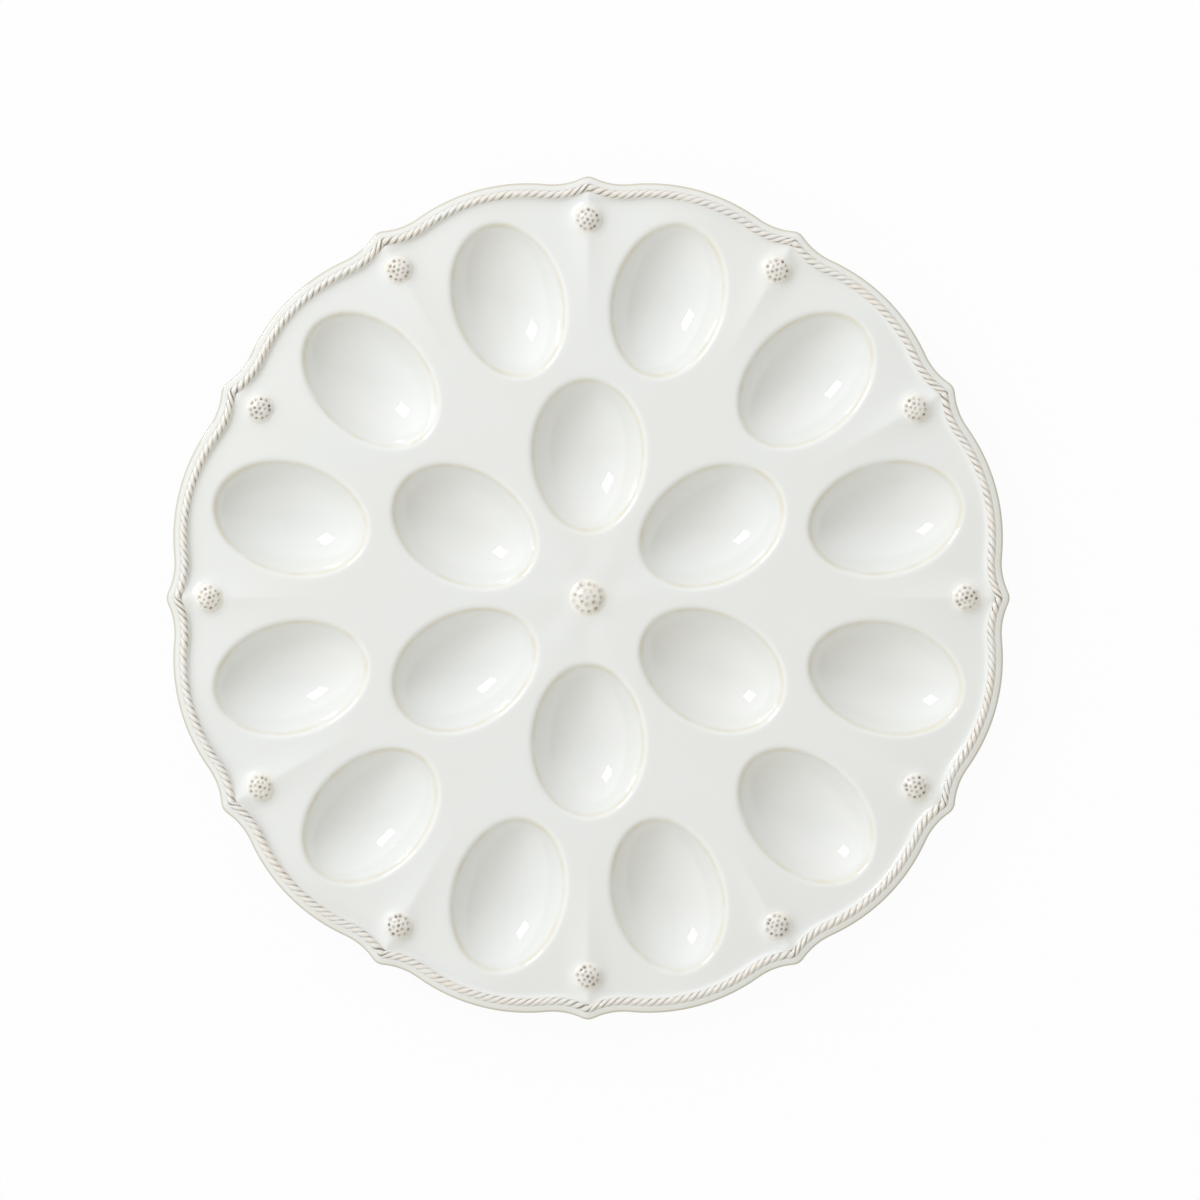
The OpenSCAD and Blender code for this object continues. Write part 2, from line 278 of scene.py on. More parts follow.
class Well:
    """One egg well: its place, its turn and its shape."""

    def __init__(self, at, turn, mouth_l, blunt):
        self.turn = math.radians(turn)
        self.centre = np.array([at * math.cos(self.turn), at * math.sin(self.turn)])
        self.mouth_l = mouth_l
        self.half_l = mouth_l / 2 * EGG_STRETCH
        self.blunt = blunt

    def local(self, x, y):
        """The point along and across the egg."""
        c, s = math.cos(self.turn), math.sin(self.turn)
        dx, dy = x - self.centre[0], y - self.centre[1]
        return dx * c + dy * s, dy * c - dx * s

    def world(self, along, across):
        """The place of a point given along and across the egg."""
        c, s = math.cos(self.turn), math.sin(self.turn)
        x = self.centre[0] + along * c - across * s
        return x, self.centre[1] + along * s + across * c

    def bowl_h(self, x, y):
        """Height of the bowl's wall over a place."""
        along, across = self.local(x, y)
        return egg_h(along, across, self.half_l, EGG_R, self.blunt)

    def cup_h(self, x, y):
        """Height of the cup's underside over a place."""
        along, across = self.local(x, y)
        return egg_h(along, across, self.half_l + CUP_WALL, EGG_R + CUP_WALL, self.blunt)


WELLS = [
    Well(OUTER_EGG_AT, (i + 0.5) * LOBE_PITCH, OUTER_WELL_L, OUTER_BLUNT)
    for i in range(LOBES)
] + [
    Well(INNER_EGG_AT, (i + 0.5) * 2 * LOBE_PITCH, INNER_WELL_L, INNER_BLUNT)
    for i in range(INNER_WELLS)
]


def under_h(x, y):
    """Height of the underside: the deck's flat underside with the cups hanging from it."""
    z = np.full(np.shape(x), DECK_UNDER)
    for well in WELLS:
        z = soft_min(z, well.cup_h(x, y), CUP_FILLET)
    return z


# The mouths, the bowls and the edge, as rings of points

MOUTH_SIDES = 92
MOUTH_RINGS = 10
WALL_STEPS = [0.5, 1.1, 1.8, 2.6]
BOWL_RINGS = 10
RIM_SIDES_PER_LOBE = 60
CUSP_CROWDING = 0.45
HALVINGS = 24

# Where a mouth's line is looked for, as shares of an even ellipse, and where its rounding
# touches the bowl, as distances out from that line
NEAREST_LINE = 0.5
FURTHEST_LINE = 1.05
TOUCH_STEPS = np.linspace(-3, 0.6, 400)


def mouth_line(well):
    """Points where the bowl cuts the deck, and the outward way at each."""
    u = np.linspace(0, 2 * np.pi, MOUTH_SIDES, endpoint=False)
    way_x, way_y = well.mouth_l / 2 * np.cos(u), WELL_W / 2 * np.sin(u)
    low = np.full(MOUTH_SIDES, NEAREST_LINE)
    high = np.full(MOUTH_SIDES, FURTHEST_LINE)
    for _ in range(HALVINGS):
        mid = (low + high) / 2
        x, y = well.world(way_x * mid, way_y * mid)
        above = well.bowl_h(x, y) > deck_h(x, y)
        high = np.where(above, mid, high)
        low = np.where(above, low, mid)
    line = np.stack([way_x * low, way_y * low], axis=1)
    run = np.roll(line, -1, axis=0) - np.roll(line, 1, axis=0)
    out = np.stack([run[:, 1], -run[:, 0]], axis=1)
    return line, out / np.linalg.norm(out, axis=1)[:, None]


def mouth_rounding(well, line, out):
    """A ball under the deck that touches its top and the wall of the bowl beside a mouth.

    Given are the ball's distance outside the mouth, the place where it touches the wall and
    the angle between that place and the ball's top.
    """
    x = line[:, :1] + TOUCH_STEPS * out[:, :1]
    y = line[:, 1:] + TOUCH_STEPS * out[:, 1:]
    middle = deck_h(*well.world(*line.T)) - MOUTH_R
    wall = well.bowl_h(*well.world(x, y)) - middle[:, None]
    low, high = np.zeros(len(line)), np.full(len(line), MOUTH_R)
    for _ in range(HALVINGS):
        at = (low + high) / 2
        touching = np.hypot(TOUCH_STEPS - at[:, None], wall).min(axis=1) < MOUTH_R
        low = np.where(touching, at, low)
        high = np.where(touching, high, at)
    nearest = np.hypot(TOUCH_STEPS - at[:, None], wall).argmin(axis=1)
    touch = TOUCH_STEPS[nearest]
    return at, touch, np.arctan2(at - touch, wall[np.arange(len(line)), nearest])


def well_rings(well):
    """Rings of points from the deck just outside the mouth down to the bottom of the bowl."""
    line, out = mouth_line(well)
    at, touch, sweep = mouth_rounding(well, line, out)
    rings = []
    for share in np.linspace(0, 1, MOUTH_RINGS):
        step = at - MOUTH_R * np.sin(share * sweep)
        x, y = well.world(*(line + step[:, None] * out).T)
        z = deck_h(x, y) - MOUTH_R * (1 - np.cos(share * sweep))
        rings.append((x, y, z))
    x, y, z = rings[-1]
    miss = well.bowl_h(x, y) - z
    for k, (x, y, z) in enumerate(rings):
        rings[k] = (x, y, z + miss * (k / (MOUTH_RINGS - 1)) ** 2)
    for step in WALL_STEPS:
        last = line + (touch - step)[:, None] * out
        x, y = well.world(*last.T)
        rings.append((x, y, well.bowl_h(x, y)))
    top = math.acos(AXIS_RISE / EGG_R)
    for k in range(1, BOWL_RINGS):
        share = math.sin(top * (1 - k / BOWL_RINGS)) / math.sin(top)
        x, y = well.world(*(last * share).T)
        rings.append((x, y, well.bowl_h(x, y)))
    x, y = well.world(np.zeros(1), np.zeros(1))
    return rings, (x, y, well.bowl_h(x, y))


def rim_turns():
    """Angles of the rim's points, closer together beside the cusps."""
    u = np.linspace(0, 1, RIM_SIDES_PER_LOBE // 2 + 1)
    half = HALF_LOBE * ((1 - CUSP_CROWDING) * u + CUSP_CROWDING * u ** 2)
    lobe = np.concatenate([half, LOBE_PITCH - half[-2:0:-1]])
    return np.concatenate([k * LOBE_PITCH + lobe for k in range(LOBES)])


RIM_TURNS = rim_turns()


def rim_ring(inset, z):
    """A ring of points moved in from the edge, at a height or a row of heights."""
    x, y = polar(rim_r(RIM_TURNS, inset), RIM_TURNS).T
    return x, y, np.broadcast_to(z, x.shape)


def cove_ring(share):
    """A ring of the cove, from the deck at share 1 to the rope's seat at share 0."""
    x, y, _ = rim_ring(COVE_IN, 0)
    foot = deck_h(x, y)
    x, y, _ = rim_ring(ROPE_IN + share * (COVE_IN - ROPE_IN), 0)
    return x, y, foot + (SEAT_H - ROPE_LEAN - foot) * (1 - share) ** 4


# The lip's section, as distance in from the edge and drop below the rope's seat: a gentle
# slope that rolls over at the edge
LIP_SECTION = [
    (2.8, 0), (2.5, 0.02), (2.2, 0.07), (1.9, 0.14), (1.6, 0.23), (1.3, 0.32), (1.0, 0.41),
    (0.75, 0.49), (0.55, 0.57), (0.4, 0.66), (0.27, 0.79), (0.15, 1.0), (0.06, 1.35), (0, 2.7),
]
COVE_SHARES = [1, 0.85, 0.7, 0.55, 0.42, 0.32, 0.22, 0.14, 0.07, 0]
EDGE_ROUND = 0.9
EDGE_ROUND_TURNS = (0, 30, 60, 90)

# The bed under the rope lies this far below its seat, and keeps this far inside its sides
BED_SINK = 0.25
BED_GAP = 0.3


def edge_rings():
    """Rings from the cove over the rope's seat and the lip to the underside."""
    rings = [cove_ring(share) for share in COVE_SHARES]
    bed = SEAT_H - ROPE_LEAN - BED_SINK
    rings += [rim_ring(inset, bed) for inset in (ROPE_IN - BED_GAP, ROPE_MID)]
    rings.append(rim_ring(LIP_W + BED_GAP, SEAT_H - BED_SINK))
    rings += [rim_ring(inset, SEAT_H - drop) for inset, drop in LIP_SECTION]
    for turn in EDGE_ROUND_TURNS:
        a = math.radians(turn)
        inset = EDGE_ROUND * (1 - math.cos(a))
        rings.append(rim_ring(inset, EDGE_LOW + EDGE_ROUND * (1 - math.sin(a))))
    return rings


class Shell:
    """Collects the points and faces of one closed mesh."""

    def __init__(self):
        self.points = []
        self.faces = []
        self.count = 0

    def add(self, x, y, z):
        """Adds a row of points and returns their numbers."""
        self.points.append(np.stack(np.broadcast_arrays(x, y, z), axis=1))
        first = self.count
        self.count += len(self.points[-1])
        return np.arange(first, self.count)

    def band(self, a, b):
        """Faces between two rings of points."""
        c, d = np.roll(a, -1), np.roll(b, -1)
        self.faces += np.stack([a, b, d, c], axis=1).tolist()

    def fan(self, ring, pole):
        """Faces between a ring and the point in its middle."""
        after = np.roll(ring, -1)
        self.faces += [[int(p), int(pole), int(q)] for p, q in zip(ring, after)]


# Points over the deck between the wells

# Half the width of the evenly spaced rows and their step, then the ridges' points and the rings
# round the berries
DECK_SPREAD = 170
DECK_STEP = 2.1
CREST_FROM = 98
CREST_TO = 146
CREST_STEP = 1.6
CREST_ASIDE = [0, -0.7, 0.7, -1.7, 1.7]
CUSP_CREST_STEP = 0.8
CUSP_CREST_GAP = 0.6
MOUND_TURN = 10
INNER_MOUND_RINGS = [4.4, 5.3, 5.9]
OUTER_MOUND_RINGS = [6.6, 7.3, 8.0, RIM_MOUND_REACH]
HUB_MOUND_RINGS = [6.0, 7.0, 7.5, 8.2, 9.0, 10.0, 11.0, HUB_MOUND_REACH]

# How far the points keep from each other, from the mouths and from the rim
FINE_GAP = 0.5
LOOSE_GAP = 1.25
MOUTH_GAP = 0.2
RIM_GAP = 0.4
BATCH = 2000


def spaced_points():
    """Rows of points over the whole deck, each row half a step on from the last."""
    rows = np.arange(-DECK_SPREAD, DECK_SPREAD, DECK_STEP * math.sqrt(3) / 2)
    across = np.arange(-DECK_SPREAD, DECK_SPREAD, DECK_STEP)
    return np.concatenate([
        np.stack([across + (k % 2) * DECK_STEP / 2, np.full(len(across), y)], axis=1)
        for k, y in enumerate(rows)
    ])


def ray_points(turn, along, aside):
    """Points along a line that runs beside a ray from the middle."""
    c, s = math.cos(math.radians(turn)), math.sin(math.radians(turn))
    return np.stack([along * c - aside * s, along * s + aside * c], axis=1)


def crest_lines():
    """Points along every ridge and close beside it, on both sides of its berry."""
    inner = np.arange(CREST_FROM, CREST_TO, CREST_STEP)
    start = RIM_BERRY_AT + RIM_MOUND_REACH + CUSP_CREST_STEP / 2
    end = float(rim_r(0, COVE_IN)) - CUSP_CREST_GAP
    outer = np.arange(start, end, CUSP_CREST_STEP)
    rows = []
    for k in range(LOBES):
        rows += [ray_points(k * LOBE_PITCH, inner, aside) for aside in CREST_ASIDE]
        rows += [ray_points(k * LOBE_PITCH, outer, aside) for aside in CREST_ASIDE[:3]]
    return np.concatenate(rows)


def mound_rings():
    """Rings of points round every berry, the outer ones half a step on."""
    rows = []
    turns = np.arange(0, 360, MOUND_TURN)
    for k in range(LOBES):
        centre = polar(RIM_BERRY_AT, k * LOBE_PITCH)
        rows += [centre + polar(r, turns) for r in INNER_MOUND_RINGS]
        rows += [centre + polar(r, turns + MOUND_TURN / 2) for r in OUTER_MOUND_RINGS]
    rows += [polar(r, turns) for r in HUB_MOUND_RINGS]
    return np.concatenate(rows)


def clear_of(points, others, gap):
    """The points that lie further than gap from all the others."""
    keep = np.ones(len(points), bool)
    for start in range(0, len(points), BATCH):
        part = points[start:start + BATCH]
        d = ((part[:, None, :] - others[None, :, :]) ** 2).sum(axis=2).min(axis=1)
        keep[start:start + BATCH] = d > gap * gap
    return points[keep]


def free_deck_points(mouths, rim):
    """Points over the deck, clear of the wells and of the rim."""
    fine = np.concatenate([crest_lines(), mound_rings()])
    lines = np.concatenate(mouths + [rim])
    fine = clear_of(fine, lines, FINE_GAP)
    loose = clear_of(spaced_points(), np.concatenate([lines, fine]), LOOSE_GAP)
    points = np.concatenate([fine, loose])
    turn = np.degrees(np.arctan2(points[:, 1], points[:, 0]))
    inside = np.hypot(points[:, 0], points[:, 1]) < rim_r(turn, COVE_IN) - RIM_GAP
    for well, mouth in zip(WELLS, mouths):
        ring_x, ring_y = well.local(*mouth.T)
        x, y = well.local(*points.T)
        reach = np.interp(
            np.arctan2(y, x), np.arctan2(ring_y, ring_x), np.hypot(ring_x, ring_y),
            period=2 * np.pi,
        )
        inside &= np.hypot(x, y) > reach + MOUTH_GAP
    return points[inside]


# One closed mesh for the body

# The kind of answer wanted from the triangulation, and how close two of its points may be
INSIDE_THE_RIM = 1
SAME_PLACE = 1e-7

# The underside: how far in its first rings lie and how far in the edge's height still counts,
# the step from ring to ring, how close and how few a ring's points may be, and the radii from
# which the rings are round and at which they end
UNDER_INSETS = [4, 9, 15, 22]
UNDER_BLEND = 8
UNDER_STEP = 2.6
CROWDED = 1.364
FEWEST_SIDES = 90
ROUND_FROM = 140
LAST_RING_R = 3


def ring_edges(first, count):
    """The sides of a ring of points that are numbered on from the first."""
    return [(first + i, first + (i + 1) % count) for i in range(count)]


def fill_deck(shell, mouth_ids, rim_ids):
    """Triangles between the mouths and the cove, none of them inside a mouth."""
    made = np.concatenate(shell.points)
    mouths = [made[ids, :2] for ids in mouth_ids]
    rim = made[rim_ids, :2]
    free = free_deck_points(mouths, rim)
    free_ids = shell.add(free[:, 0], free[:, 1], deck_h(free[:, 0], free[:, 1]))
    numbers = np.concatenate(mouth_ids + [rim_ids, free_ids])
    plan = np.concatenate(mouths + [rim, free])
    edges = []
    for k in range(len(WELLS)):
        edges += ring_edges(k * MOUTH_SIDES, MOUTH_SIDES)
    in_wells = len(WELLS) * MOUTH_SIDES
    edges += ring_edges(in_wells, len(rim))
    plan = [Vector(p) for p in plan.tolist()]
    found = delaunay_2d_cdt(plan, edges, [], INSIDE_THE_RIM, SAME_PLACE)
    _, _, triangles, origin, _, _ = found
    for triangle in triangles:
        source = [origin[v][0] for v in triangle]
        wells = {s // MOUTH_SIDES if s < in_wells else -1 for s in source}
        if len(wells) > 1 or -1 in wells:
            shell.faces.append([int(numbers[s]) for s in source])


def next_ring(shell, ring, x, y, z):
    """Adds a ring of the underside and joins it to the one before."""
    after = shell.add(x, y, z)
    shell.band(after, ring)
    return after


def thin_ring(shell, ring):
    """Halves the number of points in a ring, with a row of faces that joins the two."""
    x, y, _ = shell.points[-1].T
    share = 1 - UNDER_STEP / float(np.hypot(x, y).mean())
    x, y = x[::2] * share, y[::2] * share
    half = shell.add(x, y, under_h(x, y))
    n = len(half)
    for i in range(n):
        a, b, c = (int(v) for v in (ring[2 * i], ring[2 * i + 1], ring[(2 * i + 2) % (2 * n)]))
        p, q = int(half[i]), int(half[(i + 1) % n])
        shell.faces += [[p, b, a], [p, q, b], [q, c, b]]
    return half, n


def close_under(shell, ring):
    """The underside, in rings that run inwards and thin out where their points crowd."""
    for inset in UNDER_INSETS:
        x, y, _ = rim_ring(inset, 0)
        blend = ease_down(inset / UNDER_BLEND)
        ring = next_ring(shell, ring, x, y, under_h(x, y) * (1 - blend) + EDGE_LOW * blend)
    sides = len(RIM_TURNS)
    while True:
        r_now = float(np.hypot(*shell.points[-1][:, :2].T).mean())
        if sides > FEWEST_SIDES and 2 * math.pi * r_now / sides < CROWDED:
            ring, sides = thin_ring(shell, ring)
        r_next = r_now - UNDER_STEP
        if r_next < LAST_RING_R:
            break
        x, y = shell.points[-1][:, :2].T * (r_next / r_now)
        if r_next < ROUND_FROM:
            even = np.hypot(x, y)
            x, y = x / even * r_next, y / even * r_next
        ring = next_ring(shell, ring, x, y, under_h(x, y))
    pole = shell.add(np.zeros(1), np.zeros(1), under_h(np.zeros(1), np.zeros(1)))[0]
    shell.fan(ring[::-1], pole)


def build_body():
    """The whole glazed casting: deck, bowls, rim and underside in one closed mesh."""
    shell = Shell()
    mouth_ids = []
    for well in WELLS:
        rings, pole = well_rings(well)
        ids = [shell.add(*ring) for ring in rings]
        for a, b in zip(ids, ids[1:]):
            shell.band(a, b)
        shell.fan(ids[-1], shell.add(*pole)[0])
        mouth_ids.append(ids[0])
    edge_ids = [shell.add(*ring) for ring in edge_rings()]
    for a, b in zip(edge_ids[1:], edge_ids):
        shell.band(a, b)
    fill_deck(shell, mouth_ids, edge_ids[0])
    close_under(shell, edge_ids[-1])
    return shell


# Making and keeping objects

# Points of a mesh that are this close, in metres, become one
WELD_GAP = 1e-6


def new_object(name, mesh):
    """A new object in the scene."""
    obj = bpy.data.objects.new(name, mesh)
    bpy.context.scene.collection.objects.link(obj)
    return obj


def select_only(obj):
    """Selects one object and makes it the active one."""
    bpy.ops.object.select_all(action="DESELECT")
    obj.select_set(True)
    bpy.context.view_layer.objects.active = obj


def smooth(obj, angle=None):
    """Shades a piece smooth, all over or only where its faces meet at less than an angle."""
    select_only(obj)
    if angle is None:
        bpy.ops.object.shade_smooth()
    else:
        bpy.ops.object.shade_smooth_by_angle(angle=math.radians(angle))


def mesh_points(obj):
    """The piece's points in millimetres."""
    flat = np.empty(len(obj.data.vertices) * 3)
    obj.data.vertices.foreach_get("co", flat)
    return flat.reshape(-1, 3) / MM


def set_points(obj, points):
    """Moves the piece's points to places in millimetres."""
    obj.data.vertices.foreach_set("co", (points * MM).ravel())
    obj.data.update()


def paint(obj, name, values):
    """Keeps a number for each point, for the glaze to read."""
    layer = obj.data.attributes.new(name, "FLOAT", "POINT")
    layer.data.foreach_set("value", np.asarray(values, dtype=np.float32))


def dress(obj, material, slot, *nodes):
    """Gives a piece its finish, its body and the nodes that it stands for."""
    obj.data.materials.clear()
    obj.data.materials.append(material)
    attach(obj, "root")
    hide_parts(*nodes)


# Glazes

# Numbers of the colour sockets of a mix node, whose names it also uses for other kinds
MIX_SHARE = 0
MIX_BASE = 6
MIX_OTHER = 7
MIX_RESULT = 2


def node(tree, kind, **settings):
    """A new node with its settings."""
    made = tree.nodes.new(kind)
    for key, value in settings.items():
        setattr(made, key, value)
    return made


def new_glaze(name):
    """A new material, its nodes and its shader."""
    material = bpy.data.materials.new(name)
    material.use_nodes = True
    tree = material.node_tree
    return material, tree, tree.nodes["Principled BSDF"]


def noise(tree, scale, detail):
    """Noise that stays on the piece."""
    where = node(tree, "ShaderNodeTexCoord")
    cloud = node(tree, "ShaderNodeTexNoise")
    cloud.inputs["Scale"].default_value = scale
    cloud.inputs["Detail"].default_value = detail
    tree.links.new(where.outputs["Object"], cloud.inputs["Vector"])
    return cloud.outputs["Fac"]


def patches(tree, scale, detail, low, high):
    """Noise, spread from 0 at low to 1 at high."""
    spread = node(tree, "ShaderNodeMapRange")
    spread.inputs["From Min"].default_value = low
    spread.inputs["From Max"].default_value = high
    tree.links.new(noise(tree, scale, detail), spread.inputs["Value"])
    return spread.outputs["Result"]


def times(tree, a, b):
    """The product of two shares, each a number or a socket."""
    made = node(tree, "ShaderNodeMath", operation="MULTIPLY", use_clamp=True)
    for socket, value in zip(made.inputs, (a, b)):
        if isinstance(value, (int, float)):
            socket.default_value = value
        else:
            tree.links.new(value, socket)
    return made.outputs["Value"]


def blend_colour(tree, share, base, other):
    """Mixes two colours, each a value or a socket."""
    made = node(tree, "ShaderNodeMix", data_type="RGBA")
    tree.links.new(share, made.inputs[MIX_SHARE])
    for number, value in ((MIX_BASE, base), (MIX_OTHER, other)):
        socket = made.inputs[number]
        if isinstance(value, tuple):
            socket.default_value = (*value, 1)
        else:
            tree.links.new(value, socket)
    return made.outputs[MIX_RESULT]


def attribute(tree, name):
    """A number that paint() kept on the piece."""
    return node(tree, "ShaderNodeAttribute", attribute_name=name).outputs["Fac"]


def linear(*rgb):
    """A colour given as it looks on screen, 0 to 255, as the shader wants it."""
    return tuple(((c / 255 + 0.055) / 1.055) ** 2.4 for c in rgb)


WHITE_GLAZE = linear(235, 236, 233)
CREAM_GLAZE = linear(233, 232, 225)
TAN_BREAK = linear(227, 223, 207)
# Olive of the platter's edge: partly thinner glaze, partly painted shade of the rolled-over edge
OLIVE_EDGE_AND_SHADE = linear(205, 199, 183)
ROPE_CREAM = linear(238, 232, 222)
BROWN_STAIN = linear(92, 74, 56)
BERRY_WHITE = linear(242, 239, 230)
PIT_STAIN = linear(124, 98, 72)
BARE_CLAY = linear(206, 190, 164)
DARK_CLAY = linear(190, 170, 140)
CLAY_SPECK = linear(150, 122, 92)

# Depth of the waves in a glaze, of the finer skin over them and of the clay's grain, in metres
WAVE_D = 0.0006
SKIN_D = 0.00008
GRAIN_D = 0.0002


def bump(tree, height, strength, depth):
    """A bump node over a height."""
    made = node(tree, "ShaderNodeBump")
    made.inputs["Strength"].default_value = strength
    made.inputs["Distance"].default_value = depth
    tree.links.new(height, made.inputs["Height"])
    return made


def glaze_waves(tree, shader, strength):
    """The slow waves that a poured glaze keeps, and a finer skin over them."""
    waves = bump(tree, noise(tree, scale=55, detail=2), strength, WAVE_D)
    skin = bump(tree, noise(tree, scale=420, detail=1), strength / 2, SKIN_D)
    tree.links.new(waves.outputs["Normal"], skin.inputs["Normal"])
    tree.links.new(skin.outputs["Normal"], shader.inputs["Normal"])


def make_white_glaze():
    """White glaze that thins to tan along the mouths of the wells. On the lip the tan is partly
    thinner glaze and partly painted warm shade, and the olive at the edge is partly thinner glaze
    and partly painted shade of the edge that rolls over.
    """
    material, tree, shader = new_glaze("white_glaze")
    cream = times(tree, patches(tree, scale=22, detail=3, low=0.42, high=0.68), 0.3)
    colour = blend_colour(tree, cream, WHITE_GLAZE, CREAM_GLAZE)
    broken = patches(tree, scale=90, detail=4, low=0.25, high=0.62)
    thin = times(tree, attribute(tree, "thin"), broken)
    colour = blend_colour(tree, thin, colour, TAN_BREAK)
    # Olive at the edge: partly thinner glaze, partly painted shade of the rolled-over edge
    colour = blend_colour(tree, attribute(tree, "edge"), colour, OLIVE_EDGE_AND_SHADE)
    tree.links.new(colour, shader.inputs["Base Color"])
    shader.inputs["Roughness"].default_value = 0.025
    shader.inputs["IOR"].default_value = 1.62
    glaze_waves(tree, shader, strength=0.05)
    return material


def make_stained_glaze(name, crest, stain):
    """Glaze over small relief, with a darker stain left in its hollows."""
    material, tree, shader = new_glaze(name)
    pale = times(tree, patches(tree, scale=60, detail=2, low=0.35, high=0.7), 0.6)
    colour = blend_colour(tree, pale, crest, WHITE_GLAZE)
    broken = patches(tree, scale=220, detail=3, low=0.22, high=0.6)
    colour = blend_colour(tree, times(tree, attribute(tree, "stain"), broken), colour, stain)
    tree.links.new(colour, shader.inputs["Base Color"])
    shader.inputs["Roughness"].default_value = 0.08
    shader.inputs["IOR"].default_value = 1.5
    glaze_waves(tree, shader, strength=0.1)
    return material


def make_foot_finish():
    """Glaze down the sides of the foot, and bare clay where it stands."""
    material, tree, shader = new_glaze("bare_stoneware")
    bare = attribute(tree, "bare")
    dark = times(tree, patches(tree, scale=70, detail=4, low=0.3, high=0.7), 0.35)
    specks = times(tree, patches(tree, scale=900, detail=2, low=0.62, high=0.72), 0.6)
    clay = blend_colour(tree, dark, BARE_CLAY, DARK_CLAY)
    clay = blend_colour(tree, specks, clay, CLAY_SPECK)
    tree.links.new(blend_colour(tree, bare, WHITE_GLAZE, clay), shader.inputs["Base Color"])
    rough = node(tree, "ShaderNodeMapRange")
    rough.inputs["To Min"].default_value = 0.1
    rough.inputs["To Max"].default_value = 0.8
    tree.links.new(bare, rough.inputs["Value"])
    tree.links.new(rough.outputs["Result"], shader.inputs["Roughness"])
    grain = times(tree, patches(tree, scale=1400, detail=3, low=0.3, high=0.7), bare)
    grain = bump(tree, grain, strength=0.25, depth=GRAIN_D)
    tree.links.new(grain.outputs["Normal"], shader.inputs["Normal"])
    return material


white_glaze = make_white_glaze()
rope_glaze = make_stained_glaze("stained_rope_glaze", ROPE_CREAM, BROWN_STAIN)
berry_glaze = make_stained_glaze("stained_berry_glaze", BERRY_WHITE, PIT_STAIN)
foot_finish = make_foot_finish()


# The glazed body

# The tan line: how far it lies inside the mouth, how wide it fades, how flat its middle is and
# how far past a mouth it is looked for
TAN_INSIDE = 0.35
TAN_REACH = 0.7
TAN_PEAK = 1.25
TAN_SEARCH = 6
TOP_SKIN = DECK_UNDER + 0.2

# The lip's tan and its olive edge, both partly thinner glaze and partly painted shade of the lip
# that rolls over: how strong the tan is, and the shares of the lip over which the two come up
LIP_TAN_AND_SHADE = 0.35
LIP_TAN_REACH = 0.25
OLIVE_FROM = 0.62
OLIVE_REACH = 0.2


def near_mouths(points):
    """How close each point is to the line where the glaze breaks, just inside a mouth: 1 on it."""
    x, y, z = points.T
    near = np.zeros(len(x))
    top = z > TOP_SKIN
    for well in WELLS:
        along, across = well.local(x, y)
        some = top & (np.hypot(along, across) < well.mouth_l / 2 + TAN_SEARCH)
        gap = well.bowl_h(x[some], y[some]) - deck_h(x[some], y[some])
        aside = np.abs(gap * AXIS_RISE / (WELL_W / 2) + TAN_INSIDE)
        near[some] = np.maximum(near[some], np.clip(TAN_PEAK - aside / TAN_REACH, 0, 1))
    return near


def out_on_lip(points):
    """How far each point is out on the lip: 0 at the rope, 1 at the platter's edge."""
    x, y, z = points.T
    r = np.hypot(x, y)
    share = 1 - (rim_r(np.degrees(np.arctan2(y, x)), 0) - r) / LIP_W
    return np.clip(share, 0, 1) * (z > DECK_UNDER)


def make_body():
    """The glazed casting, one smooth skin in place of the deck and all the cups."""
    shell = build_body()
    mesh = bpy.data.meshes.new("glazed_body")
    mesh.from_pydata((np.concatenate(shell.points) * MM).tolist(), [], shell.faces)
    mesh.validate()
    body = new_object("glazed_body", mesh)
    select_only(body)
    bpy.ops.object.mode_set(mode="EDIT")
    bpy.ops.mesh.select_all(action="SELECT")
    bpy.ops.mesh.remove_doubles(threshold=WELD_GAP)
    bpy.ops.mesh.normals_make_consistent(inside=False)
    bpy.ops.object.mode_set(mode="OBJECT")
    points = mesh_points(body)
    lip = out_on_lip(points)
    # The lip's tan: partly thinner glaze, partly painted warm shade
    lip_tan_and_shade = LIP_TAN_AND_SHADE * np.clip(lip / LIP_TAN_REACH, 0, 1)
    paint(body, "thin", np.maximum(near_mouths(points), lip_tan_and_shade))
    # The edge's olive: partly thinner glaze, partly painted shade of the rolled-over edge
    paint(body, "edge", np.clip((lip - OLIVE_FROM) / OLIVE_REACH, 0, 1))
    smooth(body)
    cups = [f"outer_egg_cup_{i + 1:02d}" for i in range(LOBES)]
    cups += [f"inner_egg_cup_{i + 1:02d}" for i in range(INNER_WELLS)]
    dress(body, white_glaze, "white_glaze", "deck", *cups)


# The rope trim

# Its mesh, how far a strand leans over the rope in strands, how round it is, how deep the
# grooves are and how much of the way round is face, and how far the rope sinks into its seat
STRAND_STEPS = 10
ROPE_SIDES = 20
STRAND_LEAN = 1.5
STRAND_FULLNESS = 0.96
GROOVE_SHARE = 0.42
FACE_SHARE = 0.75
BELLY_D = 0.35

# The stain: where across a strand it starts and how fast it comes up, how strong it is beside
# the lip and beside the cove and between which shares of the rope's width it changes, how
# strong it is away from the cusps, and how far a cusp's stain reaches
STAIN_FROM = 0.64
STAIN_REACH = 0.2
LIP_STAIN = 0.4
COVE_STAIN = 0.9
STAIN_CHANGE = (0.25, 0.75)
PLAIN_STAIN = 0.8
CUSP_STAIN_REACH = 0.2


